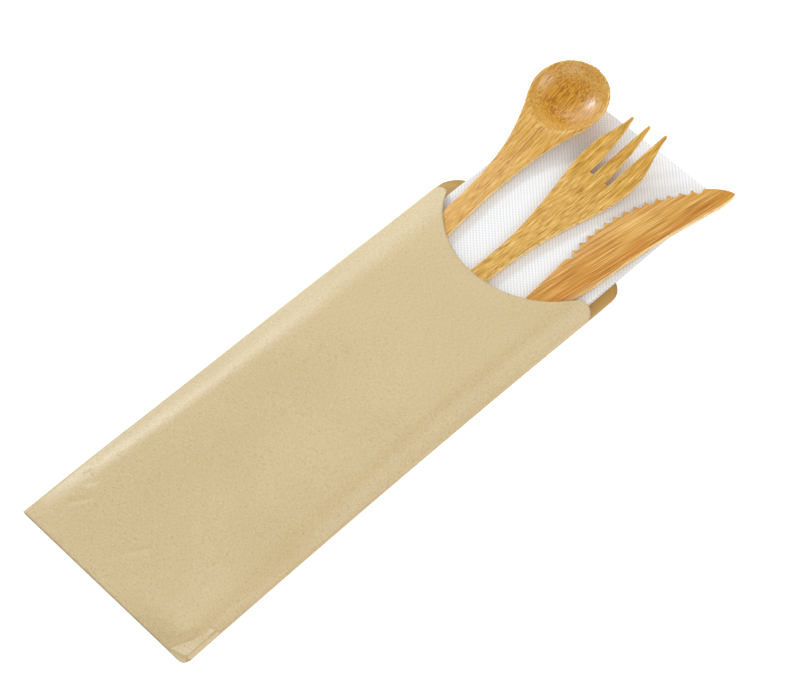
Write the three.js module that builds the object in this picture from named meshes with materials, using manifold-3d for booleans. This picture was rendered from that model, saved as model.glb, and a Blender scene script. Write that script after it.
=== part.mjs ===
// Cutlery pack: bamboo spoon, fork and knife with a folded napkin, held in a kraft paper sleeve.
// Millimetres. The pack lies on the sleeve's back: X runs across the sleeve, Y from its closed end
// to its mouth, Z up. The origin is the middle of the sleeve's back, on the table.
import * as THREE from 'three';
import { mergeVertices } from 'three/addons/utils/BufferGeometryUtils.js';
import Module from 'manifold-3d';

// Clearances
const REST_GAP = 0.3; // between pieces that lie on one another
const JOIN = 0.15; // how far glued layers of paper run into one another

// Napkin, folded to an eighth
const NAPKIN_WIDTH = 79;
const NAPKIN_LENGTH = 160;
const NAPKIN_THICKNESS = 2.4;
const NAPKIN_LEAVES = 4;
const NAPKIN_SLIT = 0.12; // air between two leaves
const NAPKIN_STAGGER = 0.5; // each leaf ends this much short of the one below it
const NAPKIN_REACH = 86.7; // past the sleeve's ears
const NAPKIN_OFFSET = 1; // towards the knife

// Paper sleeve
const PAPER = 0.3;
const SIDE_ROOM = 5.5; // napkin to side fold
const SLEEVE_LENGTH = 234; // closed end to ears
const LIP_LENGTH = 18.2; // back panel past the ears, in the middle
const LIP_SLANT = 6.5; // further out on the knife's side
const LIP_CORNER_SPOON = 14;
const LIP_CORNER_KNIFE = 9.5;
const EAR_RADIUS = 4;
const SCOOP_DEPTH = 25.4;
const FOLD_PINCH = 0.8; // pressed flat along each fold
const SIDE_WALL = 2; // the fold stands up this far at the ears
const WALL_START = 95; // and starts to, this far from the closed end
const SEAM_WIDTH = 11; // glued lap along the back
const BOTTOM_FLAP = 14; // closed end, turned up and glued on the back
const FLAP_INSET = 1;
const SHOULDER_SPREAD = 1.4; // paper leaves the fold over this many times the way to the first handle
const SHOULDER_TAPER = 0.45; // share of the shoulder's width that is left at the closed end
const END_ROOM = 4; // contents to the place where the paper starts to fall

// Dented corner at the closed end, on the knife's side
const DENT_LENGTH = 17;
const DENT_WIDTH = 8;
const DENT_RISE = 4;
const DENT_VALLEY = 4.5; // width of the slope down into the dent
const DENT_WALL = 0.7; // width of the standing side wall
const DENT_PUFF = 3; // paper pushed up beside the dent
const PUFF_REACH = 22;

// Cutlery in general
const SLAT = 3; // thickness of the bamboo slat
const HANDLE_END = 13; // width of a handle's end

// Spoon
const SPOON_LENGTH = 165.4;
const SPOON_REACH = 91.8;
const SPOON_INSET = 10.8; // napkin's edge to the axis, at the ears
const SPOON_LEAN = 5; // degrees
const SPOON_NECK = 9;
const SPOON_NECK_AT = 74; // from the handle's end
const BOWL_WIDTH = 35.8;
const BOWL_LENGTH = 38.2;
const BOWL_DEPTH = 7.2;
const BOWL_FLOOR = 1.8;
const BOWL_RIM = 1.1; // width of the rim
const BOWL_CURVE = 14; // upright half-axis of the bowl's outer ellipsoid
const BOWL_TILT = 11.3; // degrees, tip up
const BOWL_LIFT = 1.5; // bowl's underside, over what the handle lies on
const BEND_SOFT = 12; // length of the bend at the neck, to each side
const NECK_MEETS = 0.93; // where the neck runs into the bowl, as a share of the way round its rim
const WING = 1.3; // thickness of the neck's edges where they become the rim

// Fork
const FORK_LENGTH = 165; // to the longest tine
const FORK_REACH = 84.2;
const FORK_ACROSS = 0.9; // axis, off the sleeve's middle
const FORK_LEAN = -0.7;
const FORK_NECK = 8;
const FORK_NECK_AT = 66;
const FORK_HEAD = 28.2;
const FORK_HEAD_AT = 138;
const FORK_FLARE = 32; // length of the slim start of the flare
const FORK_CHEEK = 13; // length of its full end
const SLOT_WIDTH = 2.5;
const SLOT_DEPTH = 32.5;
const TINE_PITCH = 8.5;
const TINE_STEP = 1.15; // each tine is this much longer than its neighbour on the spoon's side
const TINE_CURVE = 14; // length over which an outer tine turns in
const TIP_WIDTH = 1.6;
const TIP_THICKNESS = 1.6;
const FORK_BEND_AT = 116;
const FORK_RISE = 13.8;

// Knife
const KNIFE_LENGTH = 167.2;
const KNIFE_REACH = 92;
const KNIFE_INSET = 3.6; // napkin's edge to the spine, at the ears
const KNIFE_LEAN = -7.4;
const KNIFE_NECK = 10.2;
const KNIFE_NECK_AT = 46;
const HEEL_AT = 83.6;
const HEEL_WIDTH = 17.6;
const BELLY_HEEL = 9.6; // how far the belly's curve aims past the heel
const BELLY_TIP = 13.6; // and past the clip
const BLADE_WIDTH = 23; // where the blade has thinned to its edge
const TEETH = 14;
const TOOTH_DEPTH = 2.3;
const CLIP_LENGTH = 9.7; // last tooth to the point
const CLIP_WIDTH = 11;
const POINT_INSET = 1; // point, in from the spine's line
const SPINE_HOLLOW = 1.3;
const SPINE_BEVEL = 1.9; // width of the bevel along the spine's top edge
const BEVEL_DROP = 1.2;
const BEVEL_RUN = 61.4; // it narrows from the heel over this length
const EDGE_THICKNESS = 1.2;

// Sizes that follow from the ones above
const sleeveWidth = NAPKIN_WIDTH + 2 * SIDE_ROOM;
const half = sleeveWidth / 2;
const backFloor = PAPER; // the glued lap lies under the back panel
const backTop = backFloor + PAPER;
const napkinFloor = backTop + REST_GAP;
const cutleryFloor = napkinFloor + NAPKIN_THICKNESS + REST_GAP;
const frontFloor = cutleryFloor + SLAT + REST_GAP; // underside of the front panel over the handles
const spoonAcross = -NAPKIN_WIDTH / 2 + SPOON_INSET;
const knifeAcross = NAPKIN_WIDTH / 2 - KNIFE_INSET;
const clipAt = KNIFE_LENGTH - CLIP_LENGTH;
const bowlAt = SPOON_LENGTH - BOWL_LENGTH / 2;
const bowlTilt = THREE.MathUtils.degToRad(BOWL_TILT);
const bowlRise = BOWL_LIFT + (BOWL_DEPTH + BOWL_FLOOR) * Math.cos(bowlTilt) - SLAT;
const bendAt = bowlAt - bowlRise / Math.tan(bowlTilt); // the rim's plane meets the handle's top
const contentsEnd = SLEEVE_LENGTH - END_ROOM - Math.max(
  NAPKIN_LENGTH - NAPKIN_REACH,
  SPOON_LENGTH - SPOON_REACH,
  FORK_LENGTH - FORK_REACH,
  KNIFE_LENGTH - KNIFE_REACH,
);

// Facets
const CURVE_STEPS = 12;
const ARC_STEPS = 24;
const BOWL_STEPS = 48;
const SHEET_COLUMNS = 28;
const SHEET_ROWS = 36;
const WELD = 1e-4;
const ROOM = 10; // how far a cutting body runs past what it cuts

const wasm = await Module();
wasm.setup();

// A closed geometry as a solid that can be joined and cut.
function solidOf(geometry) {
  geometry.deleteAttribute('normal');
  geometry.deleteAttribute('uv');
  const welded = mergeVertices(geometry, WELD);
  return new wasm.Manifold(new wasm.Mesh({
    numProp: 3,
    vertProperties: new Float32Array(welded.attributes.position.array),
    triVerts: new Uint32Array(welded.index.array),
  }));
}

// The solid as a mesh of its own, named and coloured.
function meshOf(name, solid, finish) {
  const { vertProperties, triVerts } = solid.getMesh();
  const geometry = new THREE.BufferGeometry();
  geometry.setAttribute('position', new THREE.BufferAttribute(vertProperties, 3));
  geometry.setIndex(new THREE.BufferAttribute(triVerts, 1));
  geometry.computeVertexNormals();
  const mesh = new THREE.Mesh(geometry, new THREE.MeshStandardMaterial(finish));
  mesh.name = name;
  return mesh;
}

// A plan outline between two heights.
function plate(shape, low, high, steps = ARC_STEPS) {
  const geometry = new THREE.ExtrudeGeometry(shape, {
    depth: high - low, bevelEnabled: false, curveSegments: steps,
  });
  return solidOf(geometry.translate(0, 0, low));
}

// A side view, drawn as (Y, Z), run across X between two places.
function slab(shape, left, right) {
  const geometry = new THREE.ExtrudeGeometry(shape, {
    depth: right - left, bevelEnabled: false, curveSegments: ARC_STEPS,
  });
  const across = new THREE.Matrix4().makeBasis(
    new THREE.Vector3(0, 1, 0), new THREE.Vector3(0, 0, 1), new THREE.Vector3(1, 0, 0),
  );
  return solidOf(geometry.applyMatrix4(across).translate(left, 0, 0));
}

// A section, drawn as (X, Z), run along Y between two places.
function bar(shape, start, end) {
  const geometry = new THREE.ExtrudeGeometry(shape, {
    depth: end - start, bevelEnabled: false, curveSegments: ARC_STEPS,
  });
  const along = new THREE.Matrix4().makeBasis(
    new THREE.Vector3(1, 0, 0), new THREE.Vector3(0, 0, 1), new THREE.Vector3(0, -1, 0),
  );
  return solidOf(geometry.applyMatrix4(along).translate(0, end, 0));
}

function rectangle(left, right, low, high) {
  return new THREE.Shape([
    new THREE.Vector2(left, low), new THREE.Vector2(right, low),
    new THREE.Vector2(right, high), new THREE.Vector2(left, high),
  ]);
}

// A whole outline from its right-hand half, which runs from the axis round to the axis.
function mirrored(path) {
  const right = path.getPoints(CURVE_STEPS);
  const left = right.slice(1, -1).reverse().map((p) => new THREE.Vector2(-p.x, p.y));
  return new THREE.Shape([...right, ...left]);
}

// The right-hand side of a handle, from the middle of its round end up to its neck.
function handleSide(neckWidth, neckAt) {
  const radius = HANDLE_END / 2;
  const path = new THREE.Path();
  path.moveTo(0, 0);
  path.absarc(0, radius, radius, -Math.PI / 2, 0, false);
  path.bezierCurveTo(radius, neckAt / 2, neckWidth / 2, neckAt / 2, neckWidth / 2, neckAt);
  return path;
}

// Sleeve

// How much of a width has been covered, from 0 to 1.
function share(distance, width) {
  return THREE.MathUtils.clamp(distance / width, 0, 1);
}

// Rises from 0 at a fold to 1 at the given width, steep at first as taut paper does.
function shoulder(distance, width) {
  return 1 - (1 - share(distance, width)) ** 2;
}

// How far a piece of cutlery lies inside the side fold, at the ears.
const spoonCorner = half + spoonAcross - SPOON_NECK / 2 - FOLD_PINCH;
const knifeCorner = half - knifeAcross - FOLD_PINCH;
const crown = (frontFloor - backTop + JOIN) / shoulder(1, SHOULDER_SPREAD);

// Height of the front panel's underside. The paper spans the contents and falls to the closed end.
function frontUnderside(x, y) {
  const along = share(y - FOLD_PINCH, contentsEnd - FOLD_PINCH);
  const taper = SHOULDER_TAPER + (1 - SHOULDER_TAPER) * along;
  const left = risen(half + x, spoonCorner * SHOULDER_SPREAD * taper, y);
  const right = risen(half - x, knifeCorner * SHOULDER_SPREAD, y);
  const pillow = crown * along * left * right;
  return backTop - JOIN + dented(x, y, pillow + puffed(x, y));
}

// From 0 at a fold to 1 at the given width. Towards the mouth the fold stands up first.
function risen(distance, width, y) {
  const wall = SIDE_WALL / crown * share(y - WALL_START, SLEEVE_LENGTH - WALL_START);
  return wall * share(distance, FOLD_PINCH) + (1 - wall) * shoulder(distance - FOLD_PINCH, width);
}

// Paper pushed up beside the dent, and held down along both folds.
function puffed(x, y) {
  const away = Math.hypot(half - x - DENT_WIDTH - DENT_VALLEY, y - DENT_LENGTH / 2);
  const side = shoulder(half - x - FOLD_PINCH, DENT_WIDTH);
  const end = shoulder(y - FOLD_PINCH, DENT_VALLEY);
  return DENT_PUFF * side * end * (1 - share(away, PUFF_REACH) ** 2) ** 2;
}

// The dented corner: the side fold stands up as a wall, and a facet falls from it into a valley.
function dented(x, y, pillow) {
  if (y > DENT_LENGTH) return pillow;
  const inward = half - x;
  const facet = DENT_WIDTH * (1 - y / DENT_LENGTH);
  const wall = share(inward, DENT_WALL) * share(y, FOLD_PINCH);
  const fall = 1 - share(inward - DENT_WALL, facet);
  return pillow * share(inward - DENT_WALL - facet, DENT_VALLEY) + DENT_RISE * wall * fall;
}

// Even steps from 0 to 1, drawn together towards both ends.
function gathered(t) {
  return (1 - Math.cos(Math.PI * t)) / 2;
}

function frontSheet() {
  const geometry = new THREE.BoxGeometry(1, 1, PAPER, SHEET_COLUMNS, SHEET_ROWS, 1);
  const place = geometry.attributes.position;
  for (let i = 0; i < place.count; i += 1) {
    const x = sleeveWidth * (gathered(place.getX(i) + 0.5) - 0.5);
    const y = SLEEVE_LENGTH * gathered(place.getY(i) + 0.5);
    place.setXYZ(i, x, y, frontUnderside(x, y) + PAPER / 2 + place.getZ(i));
  }
  return solidOf(geometry).subtract(mouthCut());
}

// What is cut from the front panel: the thumb scoop and the outsides of the two round ears.
function mouthCut() {
  const earX = half - EAR_RADIUS;
  const earY = SLEEVE_LENGTH - EAR_RADIUS;
  const drop = SCOOP_DEPTH - EAR_RADIUS;
  const scoop = (earX * earX + drop * drop - EAR_RADIUS * EAR_RADIUS) / (2 * SCOOP_DEPTH);
  const scoopY = SLEEVE_LENGTH - SCOOP_DEPTH + scoop;
  const turn = Math.atan2(scoopY - earY, -earX);
  const low = turn + Math.PI;
  const path = new THREE.Path();
  path.moveTo(0, scoopY - scoop);
  path.absarc(0, scoopY, scoop, -Math.PI / 2, low + Math.PI * 2, false);
  path.absarc(earX, earY, EAR_RADIUS, turn, 0, true);
  path.lineTo(half + ROOM, earY);
  path.lineTo(half + ROOM, SLEEVE_LENGTH + ROOM);
  path.lineTo(0, SLEEVE_LENGTH + ROOM);
  return plate(mirrored(path), 0, frontFloor + crown + ROOM);
}

function backSheet() {
  const top = SLEEVE_LENGTH + LIP_LENGTH;
  const right = top + LIP_SLANT / 2 - LIP_CORNER_KNIFE;
  const left = top - LIP_SLANT / 2 - LIP_CORNER_SPOON;
  const panel = new THREE.Shape();
  panel.moveTo(-half, 0);
  panel.lineTo(half, 0);
  panel.lineTo(half, right);
  panel.absarc(half - LIP_CORNER_KNIFE, right, LIP_CORNER_KNIFE, 0, Math.PI / 2, false);
  panel.absarc(LIP_CORNER_SPOON - half, left, LIP_CORNER_SPOON, Math.PI / 2, Math.PI, false);
  const lap = rectangle(-SEAM_WIDTH / 2, SEAM_WIDTH / 2, 0, top - LIP_SLANT);
  const flap = rectangle(-half + FLAP_INSET, half - FLAP_INSET, 0, BOTTOM_FLAP);
  return plate(panel, backFloor, backTop)
    .add(plate(lap, 0, backFloor + JOIN))
    .add(plate(flap, 0, backFloor + JOIN));
}

// Napkin: leaves that share one long round fold.
function napkinSolid() {
  const fold = NAPKIN_THICKNESS / 2;
  const left = -NAPKIN_WIDTH / 2 + fold;
  const leaf = (NAPKIN_THICKNESS - (NAPKIN_LEAVES - 1) * NAPKIN_SLIT) / NAPKIN_LEAVES;
  const nose = new THREE.Shape();
  nose.moveTo(left + fold, NAPKIN_THICKNESS);
  nose.lineTo(left, NAPKIN_THICKNESS);
  nose.absarc(left, fold, fold, Math.PI / 2, Math.PI * 3 / 2, false);
  nose.lineTo(left + fold, 0);
  const short = (NAPKIN_LEAVES - 1) * NAPKIN_STAGGER;
  let solid = bar(nose, 0, NAPKIN_LENGTH - short);
  for (let i = 0; i < NAPKIN_LEAVES; i += 1) {
    const low = i * (leaf + NAPKIN_SLIT);
    const back = i * NAPKIN_STAGGER;
    const sheet = rectangle(left, NAPKIN_WIDTH / 2 - back, 0, NAPKIN_LENGTH - back);
    solid = solid.add(plate(sheet, low, low + leaf));
  }
  return solid;
}

// Spoon

// Height of the handle's flat top and of the rim's plane, which rises towards the tip.
function rimLine(y) {
  return SLAT + Math.tan(bowlTilt) * (y - bendAt);
}

// The bowl's ellipsoid, of the given depth under the rim and width and length at the rim.
function bowlForm(width, length, depth) {
  const up = BOWL_CURVE - (BOWL_DEPTH + BOWL_FLOOR - depth);
  const lift = up - depth;
  const spread = Math.sqrt(1 - (lift / up) ** 2);
  const geometry = new THREE.SphereGeometry(1, BOWL_STEPS, BOWL_STEPS / 2);
  geometry.rotateX(Math.PI / 2);
  geometry.scale(width / 2 / spread, length / 2 / spread, up);
  geometry.translate(0, 0, lift);
  geometry.rotateX(bowlTilt);
  return solidOf(geometry.translate(0, bowlAt, rimLine(bowlAt)));
}

// Side view of everything under the handle's top and the rim, down to the given depth.
function underRim(depth) {
  const end = SPOON_LENGTH + ROOM;
  const side = new THREE.Shape();
  side.moveTo(0, -depth);
  side.lineTo(end, -depth);
  side.lineTo(end, rimLine(end));
  side.lineTo(bendAt + BEND_SOFT, rimLine(bendAt + BEND_SOFT));
  side.quadraticCurveTo(bendAt, SLAT, bendAt - BEND_SOFT, SLAT);
  side.lineTo(0, SLAT);
  return slab(side, -half, half);
}

// What is taken from under the neck, so that its edges thin out into the rim.
function neckHollow() {
  const end = bowlAt + ROOM;
  const start = SPOON_NECK_AT + BEND_SOFT;
  const side = new THREE.Shape();
  side.moveTo(start, 0);
  side.quadraticCurveTo(bendAt, 0, bowlAt, rimLine(bowlAt) - WING);
  side.lineTo(end, rimLine(end) - WING);
  side.lineTo(end, -ROOM);
  side.lineTo(start, -ROOM);
  return slab(side, -half, half);
}

function spoonSolid() {
  const bowlBack = SPOON_LENGTH - BOWL_LENGTH;
  const path = handleSide(SPOON_NECK, SPOON_NECK_AT);
  const rim = new THREE.EllipseCurve(0, bowlAt, BOWL_WIDTH / 2, BOWL_LENGTH / 2, 0, 2 * Math.PI);
  const meet = rim.getPoint(NECK_MEETS);
  path.bezierCurveTo(
    SPOON_NECK / 2, bendAt, meet.x - (meet.y - bowlBack) / 2, bowlBack, meet.x, meet.y,
  );
  path.lineTo(0, meet.y);
  const handle = plate(mirrored(path), 0, rimLine(SPOON_LENGTH))
    .intersect(underRim(0))
    .subtract(neckHollow());
  const outer = bowlForm(BOWL_WIDTH, BOWL_LENGTH, BOWL_DEPTH + BOWL_FLOOR).intersect(underRim(ROOM));
  const inner = bowlForm(BOWL_WIDTH - 2 * BOWL_RIM, BOWL_LENGTH - 2 * BOWL_RIM, BOWL_DEPTH);
  return handle.add(outer).subtract(inner);
}

// Fork

// Outline of the fork, up its right-hand side, round the tines and down its left-hand side.
function forkOutline() {
  const tip = TIP_WIDTH / 2;
  const end = HANDLE_END / 2;
  const neck = FORK_NECK / 2;
  const head = FORK_HEAD / 2;
  const slotAt = FORK_LENGTH - SLOT_DEPTH;
  const middle = slotAt + SLOT_DEPTH / 2;
  const shape = new THREE.Shape();
  shape.moveTo(0, 0);
  shape.absarc(0, end, end, -Math.PI / 2, 0, false);
  shape.bezierCurveTo(end, FORK_NECK_AT / 2, neck, FORK_NECK_AT / 2, neck, FORK_NECK_AT);
  shape.bezierCurveTo(
    neck, FORK_NECK_AT + FORK_FLARE, head, FORK_HEAD_AT - FORK_CHEEK, head, FORK_HEAD_AT,
  );
  for (const side of [1, 0, -1]) {
    const tipX = side * TINE_PITCH;
    const tipY = FORK_LENGTH - tip - (1 - side) * TINE_STEP;
    const rightSlot = (side + 0.5) * TINE_PITCH - SLOT_WIDTH / 2;
    const leftSlot = (side - 0.5) * TINE_PITCH + SLOT_WIDTH / 2;
    if (side === 1) {
      shape.bezierCurveTo(
        head, FORK_HEAD_AT + TINE_CURVE, tipX + 2 * TIP_WIDTH, middle, tipX + tip, tipY,
      );
    } else {
      shape.lineTo(rightSlot, slotAt);
      shape.quadraticCurveTo(rightSlot, middle, tipX + tip, tipY);
    }
    shape.absarc(tipX, tipY, tip, 0, Math.PI, false);
    if (side === -1) {
      shape.bezierCurveTo(
        tipX - 2 * TIP_WIDTH, middle, -head, FORK_HEAD_AT + TINE_CURVE, -head, FORK_HEAD_AT,
      );
    } else {
      shape.quadraticCurveTo(leftSlot, middle, leftSlot, slotAt);
    }
  }
  shape.bezierCurveTo(
    -head, FORK_HEAD_AT - FORK_CHEEK, -neck, FORK_NECK_AT + FORK_FLARE, -neck, FORK_NECK_AT,
  );
  shape.bezierCurveTo(-neck, FORK_NECK_AT / 2, -end, FORK_NECK_AT / 2, -end, end);
  shape.absarc(0, end, end, Math.PI, Math.PI * 3 / 2, false);
  return shape;
}

function forkSolid() {
  const bend = (FORK_LENGTH - FORK_BEND_AT) / 2;
  const side = new THREE.Shape();
  side.moveTo(0, 0);
  side.lineTo(FORK_BEND_AT, 0);
  side.quadraticCurveTo(FORK_BEND_AT + bend, 0, FORK_LENGTH, FORK_RISE);
  side.lineTo(FORK_LENGTH, FORK_RISE + TIP_THICKNESS);
  side.quadraticCurveTo(FORK_BEND_AT + bend, SLAT, FORK_BEND_AT, SLAT);
  side.lineTo(0, SLAT);
  return plate(forkOutline(), -ROOM, FORK_RISE + ROOM).intersect(slab(side, -half, half));
}

// Knife: X is 0 at the spine, and the edge is on the fork's side.

function knifeSolid() {
  const end = HANDLE_END / 2;
  const third = (clipAt - HEEL_AT) / 3;
  const edge = new THREE.CubicBezierCurve(
    new THREE.Vector2(-HEEL_WIDTH, HEEL_AT),
    new THREE.Vector2(-HEEL_WIDTH - BELLY_HEEL, HEEL_AT + third),
    new THREE.Vector2(-CLIP_WIDTH - BELLY_TIP, clipAt - third),
    new THREE.Vector2(-CLIP_WIDTH, clipAt),
  );
  const cusps = edge.getSpacedPoints(TEETH);
  const shape = new THREE.Shape();
  shape.moveTo(-end, 0);
  shape.absarc(-end, end, end, -Math.PI / 2, 0, false);
  shape.lineTo(0, HEEL_AT);
  shape.quadraticCurveTo(-2 * SPINE_HOLLOW, HEEL_AT + third * 1.5, 0, clipAt);
  shape.quadraticCurveTo(0, KNIFE_LENGTH - POINT_INSET, -POINT_INSET, KNIFE_LENGTH);
  shape.quadraticCurveTo(-CLIP_WIDTH / 2, KNIFE_LENGTH - POINT_INSET, -CLIP_WIDTH, clipAt);
  for (let i = TEETH; i > 0; i -= 1) {
    const from = cusps[i];
    const to = cusps[i - 1];
    const chord = new THREE.Vector2().subVectors(to, from);
    const inward = new THREE.Vector2(-chord.y, chord.x).normalize();
    const deepest = new THREE.Vector2().addVectors(from, to).multiplyScalar(0.5)
      .addScaledVector(inward, 2 * TOOTH_DEPTH);
    shape.quadraticCurveTo(deepest.x, deepest.y, to.x, to.y);
  }
  shape.bezierCurveTo(
    -KNIFE_NECK, KNIFE_NECK_AT + end, -KNIFE_NECK, KNIFE_NECK_AT, -KNIFE_NECK, KNIFE_NECK_AT - end,
  );
  shape.bezierCurveTo(-KNIFE_NECK, end * 2, -HANDLE_END, end * 2, -HANDLE_END, end);
  shape.absarc(-end, end, end, Math.PI, Math.PI * 3 / 2, false);

  const section = new THREE.Shape([
    new THREE.Vector2(ROOM, 0), new THREE.Vector2(ROOM, SLAT), new THREE.Vector2(-HANDLE_END, SLAT),
    new THREE.Vector2(-BLADE_WIDTH, EDGE_THICKNESS), new THREE.Vector2(-half, EDGE_THICKNESS),
    new THREE.Vector2(-half, 0),
  ]);
  return plate(shape, -ROOM, SLAT + ROOM, CURVE_STEPS)
    .intersect(bar(section, -ROOM, KNIFE_LENGTH + ROOM))
    .subtract(spineBevel());
}

// What is taken from the spine's top edge: an even bevel that runs out along the blade.
function spineBevel() {
  const slope = Math.atan2(BEVEL_DROP, SPINE_BEVEL);
  const narrowing = Math.atan2(SPINE_BEVEL, BEVEL_RUN);
  const even = new THREE.BoxGeometry(4 * ROOM, 2 * KNIFE_LENGTH, 2 * ROOM).translate(0, 0, ROOM);
  const ending = even.clone();
  even.rotateY(slope).translate(-SPINE_BEVEL, HEEL_AT, SLAT);
  ending.rotateY(slope).rotateZ(-narrowing).translate(-SPINE_BEVEL, HEEL_AT, SLAT);
  return solidOf(even).intersect(solidOf(ending));
}

// Colours
const kraft = { color: 0xd2bc91, roughness: 0.9, metalness: 0 };
const tissue = { color: 0xf4f4f6, roughness: 0.95, metalness: 0 };
const bamboo = { color: 0xd9a75c, roughness: 0.55, metalness: 0 };
const darkBamboo = { color: 0xd0953f, roughness: 0.55, metalness: 0 };

// A piece of cutlery at the ears, leaning, with its head standing out by its reach.
function inSleeve(mesh, across, lean, reach, length) {
  const holder = new THREE.Group();
  holder.position.set(across, SLEEVE_LENGTH, cutleryFloor);
  holder.rotation.z = THREE.MathUtils.degToRad(lean);
  mesh.position.y = reach - length;
  holder.add(mesh);
  return holder;
}

const sleeve = meshOf('paper_sleeve', backSheet().add(frontSheet()), kraft);
const napkin = meshOf('napkin', napkinSolid(), tissue);
napkin.position.set(NAPKIN_OFFSET, SLEEVE_LENGTH + NAPKIN_REACH - NAPKIN_LENGTH, napkinFloor);
const spoon = meshOf('spoon', spoonSolid(), bamboo);
const fork = meshOf('fork', forkSolid(), bamboo);
const knife = meshOf('knife', knifeSolid(), darkBamboo);

const pack = new THREE.Group();
pack.position.y = -SLEEVE_LENGTH / 2;
pack.add(sleeve, napkin);
pack.add(inSleeve(spoon, spoonAcross, SPOON_LEAN, SPOON_REACH, SPOON_LENGTH));
pack.add(inSleeve(fork, FORK_ACROSS, FORK_LEAN, FORK_REACH, FORK_LENGTH));
pack.add(inSleeve(knife, knifeAcross, KNIFE_LEAN, KNIFE_REACH, KNIFE_LENGTH));

export default pack;
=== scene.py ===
"""Bamboo cutlery pack: spoon, fork and knife with a folded napkin, in a kraft paper sleeve.

Lengths are millimetres in the frame's axes until a mesh is made, and metres from there on.
X runs across the sleeve, Y from its closed end to its mouth, Z up from the table.
"""

from __future__ import annotations

import logging
import math
from dataclasses import dataclass, field
from enum import Enum
from typing import Mapping, Union

import bmesh
import bpy
import numpy as np
from mathutils import Matrix, Vector

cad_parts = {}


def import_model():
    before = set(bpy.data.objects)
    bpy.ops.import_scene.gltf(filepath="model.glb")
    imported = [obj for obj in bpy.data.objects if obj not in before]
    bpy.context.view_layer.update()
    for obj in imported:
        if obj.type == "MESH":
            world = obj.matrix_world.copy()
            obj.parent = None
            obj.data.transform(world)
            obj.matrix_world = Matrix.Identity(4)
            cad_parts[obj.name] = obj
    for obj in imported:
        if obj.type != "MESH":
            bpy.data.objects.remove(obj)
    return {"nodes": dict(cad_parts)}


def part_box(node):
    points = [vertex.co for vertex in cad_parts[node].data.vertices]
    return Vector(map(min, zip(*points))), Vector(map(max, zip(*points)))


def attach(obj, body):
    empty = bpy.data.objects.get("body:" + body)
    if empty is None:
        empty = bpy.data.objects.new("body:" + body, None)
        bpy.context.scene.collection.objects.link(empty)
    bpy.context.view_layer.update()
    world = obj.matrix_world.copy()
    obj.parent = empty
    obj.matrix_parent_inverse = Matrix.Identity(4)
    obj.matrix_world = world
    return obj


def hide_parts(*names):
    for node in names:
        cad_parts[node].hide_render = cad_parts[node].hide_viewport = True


LOG = logging.getLogger("cutlery_pack")
MM = 0.001
BODY = "root"
NOISE_MIDDLE = 0.5

Colour = tuple[float, float, float, float]
Size = tuple[float, float, float]
Span = tuple[float, float]

WHITE: Colour = (1.0, 1.0, 1.0, 1.0)
BLACK: Colour = (0.0, 0.0, 0.0, 1.0)


def paint(red: int, green: int, blue: int) -> Colour:
    """Turns a colour as seen on screen into the renderer's own scale.

    Args:
        red: 0 to 255.
        green: 0 to 255.
        blue: 0 to 255.

    Returns:
        The linear colour, opaque.
    """

    def linear(byte: int) -> float:
        """Undoes the screen's curve for one channel."""
        part = byte / 255
        return part / 12.92 if part <= 0.04045 else ((part + 0.055) / 1.055) ** 2.4

    return (linear(red), linear(green), linear(blue), 1.0)


# Node trees


class Wire:
    """An output of a node. Arithmetic on it adds Math nodes to its tree."""

    def __init__(self, graph: "Graph", socket: bpy.types.NodeSocket) -> None:
        """Keeps the socket and the graph that it belongs to."""
        self.graph = graph
        self.socket = socket

    def _math(self, operation: str, first: "Value", second: "Value" = 0.0) -> "Wire":
        """Adds one Math node."""
        return self.graph.add("ShaderNodeMath", {"operation": operation}, {0: first, 1: second})

    def __add__(self, other: "Value") -> "Wire":
        """Sum."""
        return self._math("ADD", self, other)

    __radd__ = __add__

    def __sub__(self, other: "Value") -> "Wire":
        """Difference."""
        return self._math("SUBTRACT", self, other)

    def __rsub__(self, other: "Value") -> "Wire":
        """Difference, the other way round."""
        return self._math("SUBTRACT", other, self)

    def __mul__(self, other: "Value") -> "Wire":
        """Product."""
        return self._math("MULTIPLY", self, other)

    __rmul__ = __mul__

    def __rtruediv__(self, other: "Value") -> "Wire":
        """Quotient of a number and this."""
        return self._math("DIVIDE", other, self)

    def cosine(self) -> "Wire":
        """Cosine of an angle in radians."""
        return self._math("COSINE", self)

    def ramp(self, start: float, end: float) -> "Wire":
        """Smooth step from 0 at start to 1 at end, which may be the smaller."""
        return self.graph.add(
            "ShaderNodeMapRange",
            {"interpolation_type": "SMOOTHSTEP"},
            {"Value": self, "From Min": start, "From Max": end},
        )

    def out(self, name: Union[str, int]) -> "Wire":
        """Another output of the same node."""
        return Wire(self.graph, self.socket.node.outputs[name])


Value = Union[Wire, float, int, tuple, bpy.types.Material]


class Detail(Enum):
    """How many finer layers a noise has."""

    SMOOTH = 1.0
    SOFT = 2.0
    FINE = 3.0
    FIBROUS = 4.0


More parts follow.
